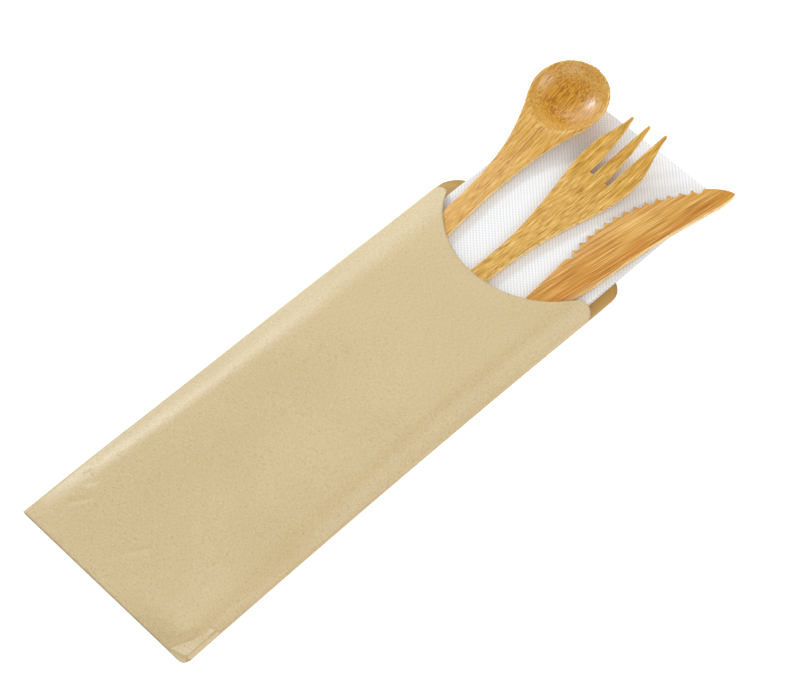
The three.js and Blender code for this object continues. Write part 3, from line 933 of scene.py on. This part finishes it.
@dataclass
class Napkin:
    """White napkin folded to an eighth: four nested leaves with one long fold, embossed on top."""

    finish: Tissue = field(default_factory=Tissue)
    node: str = "napkin"
    slot: str = "tissue"
    flat: float = 320.0
    leaves: int = 4
    slit: float = 0.04
    stagger: float = 0.5
    relief: float = 0.13
    shown: float = 122.0
    fold_steps: int = 12
    flat_steps: int = 4
    inner_rows: int = 5
    hidden_rows: int = 8
    samples: int = 4

    def __post_init__(self) -> None:
        """Takes the folded size and place from the frame."""
        extent = Extent.of(self.node)
        self.low = extent.low
        self.size = extent.high - extent.low
        self.step = self.finish.period / self.samples
        self.sheet = self.size[2] / (2 * self.leaves) - self.slit

    def _section(self, leaf: int, inner: bool, fine: bool) -> np.ndarray:
        """One side of a leaf, seen along the fold: over the top, round the fold and back below.

        Args:
            leaf: 0 for the outermost.
            inner: the leaf's inner side.
            fine: whether the top has the points that the emboss needs.

        Returns:
            Points as (X, Z) from the fold's middle line.
        """
        radius = self.size[2] / 2 - leaf * (self.sheet + self.slit) - (self.sheet if inner else 0.0)
        reach = self.size[0] - self.size[2] / 2 - leaf * self.stagger
        steps = int(reach / self.step) if fine else self.flat_steps
        flat = np.linspace(reach, 0.0, steps + 1)
        turn = np.linspace(math.pi / 2, 3 * math.pi / 2, self.fold_steps + 1)[1:-1]
        under = np.linspace(0.0, reach, self.flat_steps + 1)
        return np.concatenate(
            [
                np.stack([flat, np.full(flat.shape, radius)], axis=1),
                np.stack([radius * np.cos(turn), radius * np.sin(turn)], axis=1),
                np.stack([under, np.full(under.shape, -radius)], axis=1),
            ]
        )

    def _rows(self, leaf: int, fine: bool) -> np.ndarray:
        """Places along the napkin, close together on the part that shows.

        Args:
            leaf: 0 for the outermost.
            fine: whether the leaf has the points that the emboss needs.

        Returns:
            Places from the lower edge.
        """
        end = self.size[1] - leaf * self.stagger
        hidden = self.size[1] - self.shown
        if not fine:
            return np.linspace(0.0, end, self.inner_rows + 1)
        shown = np.linspace(hidden, end, int((end - hidden) / self.step) + 1)
        return np.concatenate([np.linspace(0.0, hidden, self.hidden_rows + 1)[:-1], shown])

    def _leaf(self, leaf: int, inner: bool) -> np.ndarray:
        """Grid of points of one side of a leaf, in the frame.

        Args:
            leaf: 0 for the outermost.
            inner: the leaf's inner side.

        Returns:
            Points, rows by columns by 3.
        """
        fine = leaf == 0
        section = self._section(leaf, inner, fine)
        rows = self._rows(leaf, fine)
        middle = self.low[2] + self.size[2] / 2
        grid = np.empty((len(rows), len(section), 3))
        grid[..., 0] = self.low[0] + self.size[2] / 2 + section[None, :, 0]
        grid[..., 1] = self.low[1] + rows[:, None]
        grid[..., 2] = middle + section[None, :, 1]
        return grid[:, ::-1]

    def build(self) -> bpy.types.Object:
        """Builds the folded leaves and embosses the top one.

        Returns:
            The napkin.
        """
        parts = MeshParts()
        for leaf in range(self.leaves):
            parts.add_shell(self._leaf(leaf, False), self._leaf(leaf, True))
        piece = parts.to_object("folded_napkin", "mark")
        self._emboss(piece)
        return piece

    def _emboss(self, piece: bpy.types.Object) -> None:
        """Presses a lattice of points into the upper side of the outer leaf.

        Args:
            piece: the folded napkin.
        """
        tree = bpy.data.node_groups.new("napkin_emboss", "GeometryNodeTree")
        face = tree.interface
        face.new_socket("Geometry", in_out="INPUT", socket_type="NodeSocketGeometry")
        face.new_socket("Geometry", in_out="OUTPUT", socket_type="NodeSocketGeometry")
        sizes = {
            "Period": self.finish.period * MM,
            "Relief": self.relief * MM,
            "Top": (self.low[2] + self.size[2] - self.sheet / 2) * MM,
        }
        keys = {
            name: face.new_socket(name, in_out="INPUT", socket_type="NodeSocketFloat").identifier
            for name in sizes
        }
        paper = face.new_socket("Paper", in_out="INPUT", socket_type="NodeSocketMaterial").identifier

        graph = Graph(tree)
        given = graph.add("NodeGroupInput")
        place = graph.add("GeometryNodeInputPosition")
        lattice = graph.lattice(place, given.out("Period"), self.finish.weight)
        upper = graph.add(
            "FunctionNodeCompare",
            {"operation": "GREATER_THAN"},
            {0: graph.axis(place, "Z"), 1: given.out("Top")},
        )
        lift = graph.add("ShaderNodeCombineXYZ", None, {"Z": (lattice - 1) * given.out("Relief")})
        pressed = graph.add(
            "GeometryNodeSetPosition", None, {"Geometry": given, "Selection": upper, "Offset": lift}
        )
        whole = graph.add("GeometryNodeRealizeInstances", None, {"Geometry": pressed})
        dressed = graph.add(
            "GeometryNodeSetMaterial", None, {"Geometry": whole, "Material": given.out("Paper")}
        )
        graph.add("NodeGroupOutput", None, {"Geometry": dressed})

        press = piece.modifiers.new("emboss", "NODES")
        press.node_group = tree
        for name, key in keys.items():
            press[key] = sizes[name]
        press[paper] = self.finish.material()
        settle(piece)

    def dress(self, piece: bpy.types.Object) -> None:
        hand_over(piece, self.node)


# Cutlery


@dataclass
class Cutlery:
    """A piece of bamboo cutlery, sanded from its solid in the frame."""

    node: str
    slot: str
    finish: Bamboo
    solid: bpy.types.Object
    lean: float
    strokes: int = 3
    grit: float = 0.32
    pull: float = 0.5
    merge: float = 0.01
    crest_step: float = 2.0
    side_level: float = 0.6
    side_spread: float = 0.4

    def build(self) -> bpy.types.Object:
        """Copies the solid, closes its facets, sands its edges round and marks its grain.

        Returns:
            The piece.
        """
        solid = bmesh.new()
        solid.from_mesh(self.solid.data)
        bmesh.ops.remove_doubles(solid, verts=solid.verts, dist=self.merge * MM)
        mesh = bpy.data.meshes.new(self.node)
        solid.to_mesh(mesh)
        solid.free()
        piece = place_object(f"bamboo_{self.node}", mesh)
        carve = piece.modifiers.new("carve", "REMESH")
        carve.mode = "VOXEL"
        carve.voxel_size = self.grit * MM
        self._sand(piece, self.strokes)
        self._wear(piece)
        self._mark_sides(piece.data)
        self._mark_grain(piece.data)
        return piece

    def _sand(self, piece: bpy.types.Object, strokes: int, group: str = "") -> None:
        """Smooths a piece, or the points of one of its groups, and makes it a plain mesh.

        Args:
            piece: the object.
            strokes: how often it is smoothed.
            group: the group's name, or nothing for the whole piece.
        """
        sand = piece.modifiers.new("sand", "SMOOTH")
        sand.factor = self.pull
        sand.iterations = strokes
        sand.vertex_group = group
        settle(piece)

    def _wear(self, piece: bpy.types.Object) -> None:
        """Leaves a piece as it was sanded."""

    @staticmethod
    def _points(mesh: bpy.types.Mesh) -> np.ndarray:
        """Reads where a mesh's points are.

        Args:
            mesh: the mesh.

        Returns:
            The points in millimetres, one to a row.
        """
        points = np.empty(3 * len(mesh.vertices), dtype=np.float32)
        mesh.vertices.foreach_get("co", points)
        return points.reshape(-1, 3) / MM

    @staticmethod
    def _normals(mesh: bpy.types.Mesh) -> np.ndarray:
        """Reads which way a mesh's points face.

        Args:
            mesh: the mesh.

        Returns:
            The directions, one to a row.
        """
        normals = np.empty(3 * len(mesh.vertices), dtype=np.float32)
        mesh.vertex_normals.foreach_get("vector", normals)
        return normals.reshape(-1, 3)

    def _mark_sides(self, mesh: bpy.types.Mesh) -> None:
        """Keeps on each point how upright the surface stands there, for the painted light on the slat's
        sides.

        Args:
            mesh: the sanded mesh.
        """
        upright = eased(share(self.side_level - np.abs(self._normals(mesh)[:, 2]), self.side_spread))
        mesh.attributes.new("side", "FLOAT", "POINT").data.foreach_set("value", upright)

    def _mark_grain(self, mesh: bpy.types.Mesh) -> None:
        """Keeps on each point its place in the straight slat: across, along, and down from its bent top.

        Args:
            mesh: the sanded mesh.
        """
        points = self._points(mesh)
        turn = math.radians(-self.lean)
        across = points[:, 0] * math.cos(turn) - points[:, 1] * math.sin(turn)
        along = points[:, 0] * math.sin(turn) + points[:, 1] * math.cos(turn)
        station = ((along - along.min()) / self.crest_step).astype(int)
        crest = np.full(station.max() + 1, -np.inf)
        np.maximum.at(crest, station, points[:, 2])
        middles = along.min() + (np.arange(len(crest)) + 0.5) * self.crest_step
        grain = np.stack([across, along, points[:, 2] - np.interp(along, middles, crest)], axis=1)
        marks = mesh.attributes.new("grain", "FLOAT_VECTOR", "POINT")
        marks.data.foreach_set("vector", grain.astype(np.float32).ravel())

    def dress(self, piece: bpy.types.Object) -> None:
        """Gives the piece its bamboo.

        Args:
            piece: the sanded object.
        """
        piece.data.materials.clear()
        piece.data.materials.append(self.finish.material())
        hand_over(piece, self.node)


@dataclass
class Spoon(Cutlery):
    """The spoon, whose bowl runs out softly into the neck."""

    neck: Span = (-33.0, 167.5)
    neck_reach: float = 17.0
    neck_facing: float = 0.5
    neck_spread: float = 0.35
    neck_strokes: int = 900
    neck_levels: int = 12

    def _wear(self, piece: bpy.types.Object) -> None:
        """Sands the edge between the bowl and the neck away.

        Args:
            piece: the sanded spoon.
        """
        points = self._points(piece.data)
        away = np.hypot(points[:, 0] - self.neck[0], points[:, 1] - self.neck[1])
        upward = eased(share(self._normals(piece.data)[:, 2] - self.neck_facing, self.neck_spread))
        near = eased(share(self.neck_reach - away, self.neck_reach))
        levels = np.rint(near * upward * self.neck_levels)
        group = piece.vertex_groups.new(name="neck")
        for level in range(1, self.neck_levels + 1):
            group.add(np.flatnonzero(levels == level).tolist(), level / self.neck_levels, "REPLACE")
        self._sand(piece, self.neck_strokes, group.name)
        piece.vertex_groups.clear()


# Studio


class Lamp(Enum):
    """The lights: direction from the pack, distance and side in millimetres, watts, and colour."""

    KEY = ((-0.79, 0.13, 0.585), 900.0, 130.0, 1.8, (0.84, 0.91, 1.0))
    LEFT = ((-0.79, 0.39, 0.47), 950.0, 700.0, 2.7, (0.84, 0.92, 1.0))
    BACK = ((-0.36, 0.6, 0.71), 1100.0, 350.0, 0.45, (1.0, 1.0, 1.0))
    RIGHT = ((0.68, 0.45, 0.58), 900.0, 480.0, 1.8, (1.0, 0.98, 0.95))
    FRONT = ((0.5, -0.68, 0.53), 1100.0, 900.0, 2.8, (1.0, 0.98, 0.94))


@dataclass
class Studio:
    """White table, soft light and the camera."""

    target: Size = (0.29, 43.48, 0.0)
    azimuth: float = 35.63
    elevation: float = 55.66
    roll: float = 9.92
    distance: float = 982.9
    focal_px: float = 2400.0
    image_width: int = 788
    sensor: float = 36.0
    clip_start: float = 10.0
    floor_size: float = 4000.0
    floor_colour: Colour = (0.85, 0.85, 0.85, 1.0)
    floor_roughness: float = 0.9
    floor_lift: float = 0.5
    ambient: float = 0.6
    gloss: float = 0.12

    def build(self) -> None:
        """Sets up the floor, the lights, the surroundings and the camera."""
        self._floor()
        for lamp in Lamp:
            self._lamp(lamp)
        self._surroundings()
        self._camera()

    def _floor(self) -> None:
        """Lays the white table under the pack."""
        side = self.floor_size * MM / 2
        mesh = bpy.data.meshes.new("table")
        corners = [(-side, -side, 0), (side, -side, 0), (side, side, 0), (-side, side, 0)]
        mesh.from_pydata(corners, [], [(0, 1, 2, 3)])
        floor = bpy.data.objects.new("table", mesh)
        bpy.context.scene.collection.objects.link(floor)
        material, graph, shader = new_material("table")
        graph.feed(shader.inputs["Base Color"], self.floor_colour)
        graph.feed(shader.inputs["Roughness"], self.floor_roughness)
        plain = Wire(graph, shader.outputs[0])
        glow = graph.add("ShaderNodeEmission", None, {"Strength": self.floor_lift})
        lifted = graph.add("ShaderNodeAddShader", None, {0: plain, 1: glow})
        surface = graph.add("ShaderNodeMixShader", None, {0: self._seen(graph), 1: plain, 2: lifted})
        graph.feed(material.node_tree.nodes["Material Output"].inputs["Surface"], surface)
        mesh.materials.append(material)

    @staticmethod
    def _seen(graph: Graph) -> Wire:
        """1 for what the camera sees, straight or in a gloss."""
        path = graph.add("ShaderNodeLightPath")
        return path.out("Is Camera Ray") + path.out("Is Glossy Ray") + path.out("Is Transmission Ray")

    def _lamp(self, lamp: Lamp) -> None:
        """Hangs one soft light.

        Args:
            lamp: which one.
        """
        direction, distance, side, power, colour = lamp.value
        way = Vector(direction).normalized()
        light = bpy.data.lights.new(lamp.name.lower(), "AREA")
        light.size = side * MM
        light.energy = power
        light.color = colour
        holder = bpy.data.objects.new(light.name, light)
        holder.location = (Vector(self.target) + way * distance) * MM
        holder.rotation_euler = way.to_track_quat("Z", "Y").to_euler()
        bpy.context.scene.collection.objects.link(holder)

    def _surroundings(self) -> None:
        """Surrounds the pack with plain white."""
        world = bpy.data.worlds.new("surroundings")
        world.use_nodes = True
        graph = Graph(world.node_tree)
        back = world.node_tree.nodes["Background"]
        graph.feed(back.inputs["Color"], WHITE)
        path = graph.add("ShaderNodeLightPath")
        plain = path.out("Is Camera Ray") * (1 - self.ambient)
        mirrored = path.out("Is Glossy Ray") * (self.gloss - self.ambient)
        graph.feed(back.inputs["Strength"], plain + mirrored + self.ambient)
        bpy.context.scene.world = world

    def _camera(self) -> None:
        """Puts the camera where the photograph was taken from."""
        lens = bpy.data.cameras.new("camera")
        lens.sensor_fit = "HORIZONTAL"
        lens.sensor_width = self.sensor
        lens.lens = self.focal_px / self.image_width * self.sensor
        lens.clip_start = self.clip_start * MM
        around = math.radians(self.azimuth)
        above = math.radians(self.elevation)
        back = Vector(
            (math.sin(around) * math.cos(above), -math.cos(around) * math.cos(above), math.sin(above))
        )
        right = Vector((0, 0, 1)).cross(back).normalized()
        upright = Matrix((right, back.cross(right), back)).transposed()
        turned = upright @ Matrix.Rotation(math.radians(self.roll), 3, "Z")
        camera = bpy.data.objects.new("camera", lens)
        place = (Vector(self.target) + back * self.distance) * MM
        camera.matrix_world = Matrix.Translation(place) @ turned.to_4x4()
        bpy.context.scene.collection.objects.link(camera)
        bpy.context.scene.camera = camera


SPOON_BAMBOO = Bamboo(
    "spoon_bamboo",
    pale=paint(224, 174, 82),
    warm=paint(218, 162, 66),
    streak=paint(190, 128, 34),
    bundle=paint(150, 90, 14),
    lit_side_and_pale_fibre=paint(255, 224, 144),
    depth_shade=paint(228, 164, 36),
    cut=paint(138, 76, 0),
    cut_depth=0.7,
    coat=0.38,
)
FORK_BAMBOO = Bamboo(
    "fork_bamboo",
    pale=paint(220, 171, 72),
    warm=paint(211, 158, 56),
    streak=paint(176, 116, 24),
    bundle=paint(146, 92, 20),
    lit_side_and_pale_fibre=paint(255, 220, 140),
    depth_shade=paint(216, 164, 62),
    bundle_size=(0.85, 150.0, 0.7),
    hair_size=(0.4, 7.0, 0.4),
    depth=0.55,
    hairiness=0.8,
    hair_shine=0.6,
)
KNIFE_BAMBOO = Bamboo(
    "knife_bamboo",
    pale=paint(221, 167, 74),
    warm=paint(209, 149, 46),
    streak=paint(168, 98, 12),
    bundle=paint(150, 88, 16),
    lit_side_and_pale_fibre=paint(255, 222, 142),
    depth_shade=paint(218, 160, 62),
    bundle_size=(0.85, 150.0, 0.7),
    wander_size=(1.1, 26.0, 1.1),
    hair_size=(0.36, 26.0, 0.36),
    depth=0.5,
    hairiness=0.9,
    hair_shine=0.5,
    heart=paint(202, 130, 10),
    heart_at=18.0,
    heart_width=5.0,
)


def main() -> None:
    """Builds the pack piece by piece and sets up the studio."""
    logging.basicConfig(level=logging.INFO, format="%(name)s %(message)s")
    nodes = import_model()["nodes"]
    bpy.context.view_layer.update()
    bpy.context.scene.view_settings.view_transform = "Standard"
    Studio().build()
    pieces = (
        PaperSleeve(),
        Napkin(),
        Spoon("spoon", "bamboo", SPOON_BAMBOO, nodes["spoon"], lean=5.0, strokes=7),
        Cutlery("fork", "bamboo", FORK_BAMBOO, nodes["fork"], lean=-0.7),
        Cutlery("knife", "dark_bamboo", KNIFE_BAMBOO, nodes["knife"], lean=-7.4, strokes=0, grit=0.28),
    )
    for piece in pieces:
        piece.dress(piece.build())


if __name__ == "__main__":
    main()
